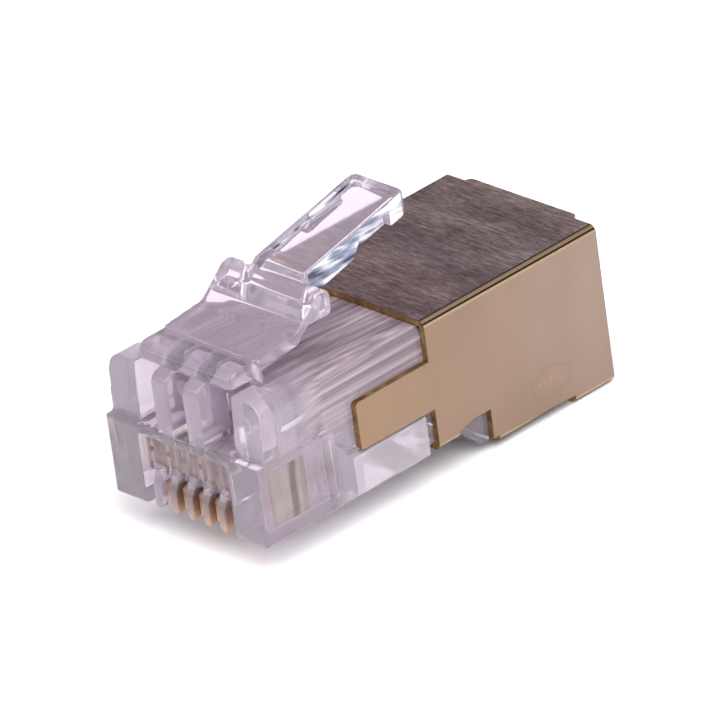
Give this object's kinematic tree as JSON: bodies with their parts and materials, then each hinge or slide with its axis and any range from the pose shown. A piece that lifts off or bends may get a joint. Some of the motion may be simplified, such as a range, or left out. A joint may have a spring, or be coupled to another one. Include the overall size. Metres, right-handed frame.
{
  "type": "telephone modular plug",
  "caption": "Shielded modular telephone plug: clear nose with a contact comb, a sprung latch lever on top and a folded metal shell around the cable end.",
  "frame": {"origin": "under the middle of the plug, at the level of the shield's lowest tabs", "axes": "+X across the plug, +Y from the nose to the cable entry, +Z from the contact side to the latch"},
  "size_m": [0.0096, 0.0216, 0.0122],
  "materials": {
    "clear_plastic": "clear, moulded",
    "shield_metal": "satin plated sheet",
    "contact_metal": "plated, bright"
  },
  "bodies": {
    "plug": {"housing": "clear_plastic", "shield_shell": "shield_metal", "contact_1": "contact_metal", "contact_2": "contact_metal", "contact_3": "contact_metal", "contact_4": "contact_metal"},
    "latch": {"latch_lever": "clear_plastic"}
  },
  "joints": [
    {"name": "latch_press", "type": "hinge", "parent": "plug", "child": "latch", "pos_m": [0, -0.00802, 0.00882], "axis": [-1, 0, 0], "range_deg": [0, 16], "stiffness_Nm_per_rad": 0.1}
  ]
}
